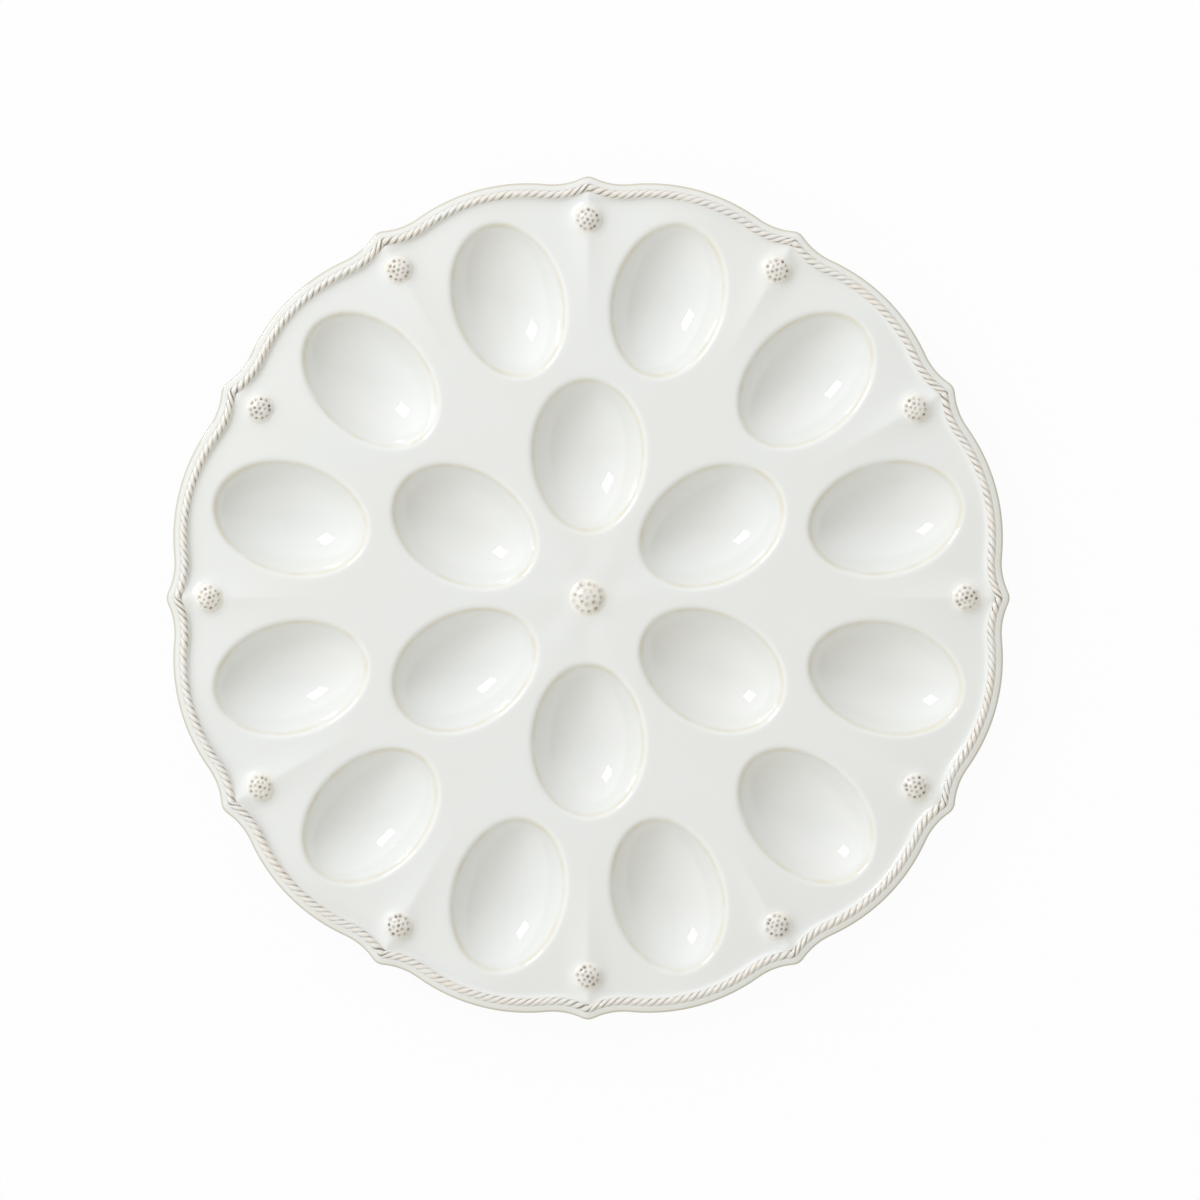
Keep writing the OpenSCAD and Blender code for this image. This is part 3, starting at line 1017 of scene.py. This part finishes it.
def make_rope():
    """One lobe's rope: a sheet rolled into a half round, with its strands pressed in."""
    columns = ROPE_STRANDS * STRAND_STEPS
    bpy.ops.mesh.primitive_grid_add(x_subdivisions=columns, y_subdivisions=ROPE_SIDES, size=1)
    rope = bpy.context.active_object
    rope.name = rope.data.name = "rope_trim"

    # The sheet is 1 m square, so its points are shares of the way along and of the way round
    along, round_, _ = (mesh_points(rope) * MM + 0.5).T

    # The first three quarters of the way round are the rope's face, the rest lies on its seat
    face = round_ <= FACE_SHARE
    under = (round_ - FACE_SHARE) / (1 - FACE_SHARE)
    arc = np.pi * np.where(face, round_ / FACE_SHARE, 1 + under)
    phase = along * ROPE_STRANDS + STRAND_LEAN * np.minimum(arc, np.pi) / np.pi
    beside = np.abs(np.mod(phase, 1) - 0.5) * 2
    bulge = np.sqrt(1 - (beside * STRAND_FULLNESS) ** 2)
    size = 1 - GROOVE_SHARE * (1 - bulge)
    across = -np.cos(arc) * np.where(face, size, 1)
    rise = np.where(face, np.sin(arc) ** 2 * size * ROPE_H, BELLY_D * np.sin(arc))
    turn = along * LOBE_PITCH
    x, y = polar(rim_r(turn, ROPE_MID - across * ROPE_W / 2), turn).T
    inner = (1 - across) / 2
    set_points(rope, np.stack([x, y, SEAT_H + rise - ROPE_LEAN * inner], axis=1))

    groove = np.clip((beside - STAIN_FROM) / STAIN_REACH, 0, 1) * face
    cusp = ease_down(np.minimum(along, 1 - along) / CUSP_STAIN_REACH)
    pooled = np.interp(inner, STAIN_CHANGE, (LIP_STAIN, COVE_STAIN))
    strength = PLAIN_STAIN + (1 - PLAIN_STAIN) * cusp
    paint(rope, "stain", groove * np.maximum(pooled, cusp) * strength)
    close_up(rope)
    return rope


def close_up(obj):
    """Joins the seam, fills the ends and turns the faces outwards."""
    select_only(obj)
    bpy.ops.object.mode_set(mode="EDIT")
    bpy.ops.mesh.select_all(action="SELECT")
    bpy.ops.mesh.remove_doubles(threshold=WELD_GAP)
    bpy.ops.mesh.select_all(action="SELECT")
    bpy.ops.mesh.fill_holes(sides=0)
    bpy.ops.mesh.select_all(action="SELECT")
    bpy.ops.mesh.normals_make_consistent(inside=False)
    bpy.ops.object.mode_set(mode="OBJECT")


def turned_copy(obj, name, turn):
    """A copy with its own mesh, turned about the platter's middle."""
    copy = new_object(name, obj.data.copy())
    copy.data.name = name
    copy.data.transform(Matrix.Rotation(math.radians(turn), 4, "Z"))
    return copy


def make_ropes():
    """Twelve lengths of rope, one to a lobe."""
    first = make_rope()
    for i in range(LOBES):
        rope = turned_copy(first, f"rope_{i + 1:02d}", i * LOBE_PITCH)
        smooth(rope)
        dress(rope, rope_glaze, "stained_rope_glaze", f"rope_trim_{i + 1:02d}")
    bpy.data.objects.remove(first)


# The berries

# The soft foot round a dome: how far it reaches, where its fall starts and how far it falls,
# the fillet above it, and how far the closing face lies under the deck
BERRY_FOOT = 1.4
FOOT_FALL_FROM = 0.7
FOOT_FALL = 0.15
BERRY_FILLET = 1.1
BERRY_SINK = 2.3

# The pits: how far they stray from their even places in millimetres and in degrees, the
# spread of their sizes and of their stain, their depth, and the lip raised round them. The
# lip's and the stain's places are shares of a pit's radius.
PIT_STRAY = 0.21
PIT_TURN_STRAY = 5.4
PIT_SIZES = (0.8, 1.1)
PIT_STAINS = (0.5, 1)
PIT_DEPTH = 0.45
PIT_ROUNDNESS = 0.75
PIT_LIP_H = 0.04
PIT_LIP_AT = 1.6
PIT_LIP_W = 0.6
PIT_SOAK = 1.3
HALO = 0.3
HALO_REACH = 2.25
DRAW_SEED = 11

# The step for a slope, how far in the closing face starts, how far below its middle the ball
# of 1 m is cut, and a length that stands for none
NUDGE = 0.01
CLOSING_EDGE = 0.02
BALL_CUT = 0.01
TINY = 1e-9


class Dome:
    """A kind of berry: its place along +X, its width and height, and its mound's height."""

    def __init__(self, at, d, h, mound_h):
        self.at = at
        self.r = d / 2
        self.ball_r = ((d / 2) ** 2 + h * h) / (2 * h)
        self.ball_h = mound_h + h - self.ball_r
        self.low = mound_h - BERRY_SINK

    def height(self, x, y):
        """Height of the dome, with a soft foot where it meets the deck."""
        dome = self.ball_h + np.sqrt(np.maximum(self.ball_r ** 2 - x * x - y * y, 0))
        beyond = np.hypot(x, y) - self.r - FOOT_FALL_FROM
        beyond = np.clip(beyond / (BERRY_FOOT - FOOT_FALL_FROM), 0, 1)
        deck = deck_h(x + self.at, y)
        return -soft_min(-dome, -deck, BERRY_FILLET) - FOOT_FALL * beyond ** 2

    def upright(self, x, y):
        """The way straight out of the dome at each place."""
        z = self.height(x, y)
        lean_x = (self.height(x + NUDGE, y) - z) / NUDGE
        lean_y = (self.height(x, y + NUDGE) - z) / NUDGE
        way = np.stack([-lean_x, -lean_y, np.ones(len(x))], axis=1)
        return way / np.linalg.norm(way, axis=1)[:, None]


def half_ball(name, finer):
    """The upper half of a ball, closed below."""
    bpy.ops.mesh.primitive_ico_sphere_add(subdivisions=finer, radius=1)
    ball = bpy.context.active_object
    bpy.ops.object.mode_set(mode="EDIT")
    bpy.ops.mesh.select_all(action="SELECT")
    bpy.ops.mesh.bisect(
        plane_co=(0, 0, -BALL_CUT), plane_no=(0, 0, 1), clear_inner=True, use_fill=True
    )
    bpy.ops.object.mode_set(mode="OBJECT")
    ball.name = ball.data.name = name
    return ball


def pit_places(draw, rings):
    """Middles of the pits, each a little off its even place."""
    places = []
    for count, at, first in rings:
        turns = first + np.arange(count) * 360 / count
        turns = turns + draw.uniform(-1, 1, count) * PIT_TURN_STRAY
        radii = at + draw.uniform(-1, 1, count) * PIT_STRAY
        places.append(polar(radii, turns))
    return np.concatenate(places)


def press_pits(dome, points, pit_r, soak, rings):
    """The points with the pits pressed in, and how much stain each of them holds."""
    draw = np.random.default_rng(DRAW_SEED)
    pits = pit_places(draw, rings)
    pits = np.column_stack([pits, dome.height(*pits.T)])
    gaps = np.linalg.norm(points[:, None, :] - pits[None, :, :], axis=2)
    nearest = gaps.argmin(axis=1)
    size = pit_r * draw.uniform(*PIT_SIZES, len(pits))[nearest]
    dark = soak * draw.uniform(*PIT_STAINS, len(pits))[nearest]
    gap = gaps.min(axis=1) / size
    hollow = np.clip(1 - gap ** 2, 0, 1) ** PIT_ROUNDNESS
    lip = np.exp(-((gap - PIT_LIP_AT) / PIT_LIP_W) ** 2)
    halo = np.interp(gap, [1, HALO_REACH], [HALO, 0])
    stain = np.clip(np.maximum(PIT_SOAK * hollow * dark, halo), 0, 1)
    press = PIT_DEPTH * dark * hollow - PIT_LIP_H * lip
    return points - dome.upright(points[:, 0], points[:, 1]) * press[:, None], stain


def make_berry(name, dome, finer, pit_r, soak, rings):
    """A low dome that runs out into its mound, drawn from half a ball."""
    berry = half_ball(name, finer)
    ball = mesh_points(berry)
    flat = np.hypot(ball[:, 0], ball[:, 1])
    foot_r = dome.r + BERRY_FOOT
    reach = np.arctan2(flat, ball[:, 2]) / (math.pi / 2) * foot_r
    x, y = (ball[:, :2] / np.maximum(flat, TINY)[:, None] * reach[:, None]).T
    points = np.stack([x, y, dome.height(x, y)], axis=1)
    points, stain = press_pits(dome, points, pit_r, soak, rings)
    points[:, 2] = np.where(reach > foot_r - CLOSING_EDGE, dome.low, points[:, 2])
    paint(berry, "stain", stain)
    set_points(berry, points + np.array([dome.at, 0, 0]))
    smooth(berry, angle=60)
    return berry


# The domes are a little narrower than the part's berries, and lower at the rim
HUB_NARROWER = 0.6
RIM_NARROWER = 1.2
RIM_LOWER = 0.9
HUB_DOME = Dome(0, HUB_BERRY_D - HUB_NARROWER, HUB_BERRY_H, HUB_MOUND_H)
RIM_DOME = Dome(
    RIM_BERRY_AT, RIM_BERRY_D - RIM_NARROWER, RIM_BERRY_H - RIM_LOWER, RIM_MOUND_H
)

# Rings of pits: how many, how far from the middle, and the turn of the first
HUB_PITS = [(1, 0.0, 0), (7, 2.9, 10), (13, 5.7, 0)]
RIM_PITS = [(1, 0.0, 0), (6, 2.1, 20), (11, 4.1, 0)]


def make_berries():
    """The middle berry, and a smaller one at every cusp."""
    hub = make_berry("middle_berry", HUB_DOME, finer=7, pit_r=0.9, soak=0.65, rings=HUB_PITS)
    dress(hub, berry_glaze, "stained_berry_glaze", "centre_berry")
    first = make_berry("rim_berry", RIM_DOME, finer=6, pit_r=0.8, soak=1.0, rings=RIM_PITS)
    for i in range(LOBES):
        berry = turned_copy(first, f"berry_{i + 1:02d}", i * LOBE_PITCH)
        dress(berry, berry_glaze, "stained_berry_glaze", f"rim_berry_{i + 1:02d}")
    bpy.data.objects.remove(first)


# The foot

FOOT_SEGMENTS = 240

# Half of the foot's section, from its root down to its standing face: distance from the middle
# of its wall, height
FOOT_SECTION = np.array([
    (FOOT_T / 2, DECK_UNDER + 0.6),
    (FOOT_T / 2, DECK_UNDER - 0.5),
    (FOOT_T / 2 - 0.25, 13.0),
    (FOOT_T / 2 - 0.7, 7.0),
    (FOOT_T / 2 - FOOT_TAPER + 0.1, 2.2),
    (FOOT_T / 2 - FOOT_TAPER - 0.3, FOOT_BEVEL_H),
    (FOOT_FLAT_W / 2 + 0.5, 0.25),
    (FOOT_FLAT_W / 2, 0),
])

# The radius of the section of the torus that the foot is made from, and the point of the
# foot's whole section that the torus's outside becomes
TORUS_R = 2
OUTSIDE_POINT = 11

# Height up to which the glaze was wiped off, how sharply it ends, and the waves in its end:
# the height of each kind, how many go round the foot, and their shift
WIPED_H = 1.9
WIPED_BLUR = 0.5
WIPED_WAVES = [(0.25, 9, 0), (0.15, 23, 1)]


def foot_outline():
    """The foot's section from inside its root to outside: distance out, height."""
    side, height = FOOT_SECTION.T
    inner = np.stack([FOOT_MID - side, height], axis=1)
    outer = np.stack([FOOT_MID + side, height], axis=1)
    return np.concatenate([inner, outer[::-1]])


def make_foot():
    """A ring turned on the wheel: a torus whose section is drawn out to the foot's."""
    outline = foot_outline()
    bpy.ops.mesh.primitive_torus_add(
        major_radius=FOOT_MID * MM, minor_radius=TORUS_R * MM,
        major_segments=FOOT_SEGMENTS, minor_segments=len(outline),
    )
    foot = bpy.context.active_object
    foot.name = foot.data.name = "foot"
    points = mesh_points(foot)
    turn = np.arctan2(points[:, 1], points[:, 0])
    out = np.hypot(points[:, 0], points[:, 1]) - FOOT_MID

    # Each point's number round the torus's section, from its outside. The torus's top becomes
    # the standing face, and its underside the root.
    step = np.round(np.degrees(np.arctan2(points[:, 2], out)) / (360 / len(outline)))
    ring = outline[np.mod(OUTSIDE_POINT - step.astype(int), len(outline))]
    x, y = ring[:, 0] * np.cos(turn), ring[:, 0] * np.sin(turn)
    top = under_h(x, y) + FOOT_ROOT
    set_points(foot, np.stack([x, y, np.minimum(ring[:, 1], top)], axis=1))
    wave = sum(h * np.sin(count * turn + shift) for h, count, shift in WIPED_WAVES)
    paint(foot, "bare", np.clip((WIPED_H + wave - ring[:, 1]) / WIPED_BLUR, 0, 1))
    close_up(foot)
    smooth(foot, angle=50)
    dress(foot, foot_finish, "bare_stoneware", "foot_ring")


make_body()
make_ropes()
make_berries()
make_foot()


# Floor, light and camera


def make_floor():
    """A pale floor that shows white to the camera and keeps a faint shadow of the platter."""
    bpy.ops.mesh.primitive_plane_add(size=FLOOR_W, location=(0, 0, -FLOOR_DROP))
    floor = bpy.context.active_object
    floor.name = "floor"
    material = bpy.data.materials.new("pale_floor")
    material.use_nodes = True
    tree = material.node_tree
    shader = tree.nodes["Principled BSDF"]
    shader.inputs["Base Color"].default_value = (0.8, 0.8, 0.8, 1)
    shader.inputs["Roughness"].default_value = 0.9
    shader.inputs["Specular IOR Level"].default_value = 0
    glow = node(tree, "ShaderNodeEmission")
    glow.inputs["Color"].default_value = (1, 1, 1, 1)
    path = node(tree, "ShaderNodeLightPath")
    seen = path.outputs["Is Camera Ray"]
    for ray in ("Is Glossy Ray", "Is Transmission Ray"):
        either = node(tree, "ShaderNodeMath", operation="MAXIMUM")
        tree.links.new(seen, either.inputs[0])
        tree.links.new(path.outputs[ray], either.inputs[1])
        seen = either.outputs["Value"]
    mix = node(tree, "ShaderNodeMixShader")
    tree.links.new(times(tree, seen, FLOOR_GLOW), mix.inputs["Fac"])
    tree.links.new(shader.outputs["BSDF"], mix.inputs[1])
    tree.links.new(glow.outputs["Emission"], mix.inputs[2])
    tree.links.new(mix.outputs["Shader"], tree.nodes["Material Output"].inputs["Surface"])
    floor.data.materials.append(material)


def add_softbox():
    """A flat lamp at the upper left that faces the platter."""
    lamp = bpy.data.lights.new("key_softbox", "AREA")
    lamp.shape = "RECTANGLE"
    lamp.size = SOFTBOX_W
    lamp.size_y = SOFTBOX_H
    lamp.energy = SOFTBOX_POWER
    lamp.color = SOFTBOX_COLOUR
    softbox = new_object("key_softbox", lamp)
    a, e = math.radians(SOFTBOX_TURN), math.radians(SOFTBOX_TILT)
    way = Vector((math.cos(e) * math.cos(a), math.cos(e) * math.sin(a), math.sin(e)))
    softbox.location = way * SOFTBOX_AWAY
    softbox.rotation_euler = way.to_track_quat("Z", "Y").to_euler()


def light_studio():
    """A pale studio, brighter and cooler on some sides than on others."""
    world = bpy.data.worlds.new("studio")
    world.use_nodes = True
    tree = world.node_tree
    where = node(tree, "ShaderNodeTexCoord").outputs["Generated"]
    total = node(tree, "ShaderNodeMath", operation="ADD")
    for i, (part, glow) in enumerate((("MAXIMUM", GLOW_TO), ("MINIMUM", GLOW_FROM))):
        side = node(tree, "ShaderNodeVectorMath", operation=part)
        side.inputs[1].default_value = (0, 0, 0)
        share = node(tree, "ShaderNodeVectorMath", operation="DOT_PRODUCT")
        share.inputs[1].default_value = [g if part == "MAXIMUM" else -g for g in glow]
        tree.links.new(where, side.inputs[0])
        tree.links.new(side.outputs["Vector"], share.inputs[0])
        tree.links.new(share.outputs["Value"], total.inputs[i])
    toward = node(tree, "ShaderNodeVectorMath", operation="DOT_PRODUCT")
    toward.inputs[1].default_value = WARM_SIDE
    warmth = node(tree, "ShaderNodeClamp")
    tree.links.new(where, toward.inputs[0])
    tree.links.new(toward.outputs["Value"], warmth.inputs["Value"])
    tint = blend_colour(tree, warmth.outputs["Result"], COOL_TINT, WARM_TINT)
    back = tree.nodes["Background"]
    tree.links.new(tint, back.inputs["Color"])
    tree.links.new(total.outputs["Value"], back.inputs["Strength"])
    bpy.context.scene.world = world


def add_camera():
    """Straight above the deck, far off, as with a long lens."""
    data = bpy.data.cameras.new("camera")
    data.sensor_width = SENSOR_W
    data.lens = SENSOR_W * CAMERA_H / FRAME_W
    camera = new_object("camera", data)
    camera.location = (*CAMERA_AT, CAMERA_H + DECK_H * MM)
    bpy.context.scene.camera = camera


make_floor()
add_softbox()
light_studio()
add_camera()
bpy.context.scene.view_settings.view_transform = "Standard"
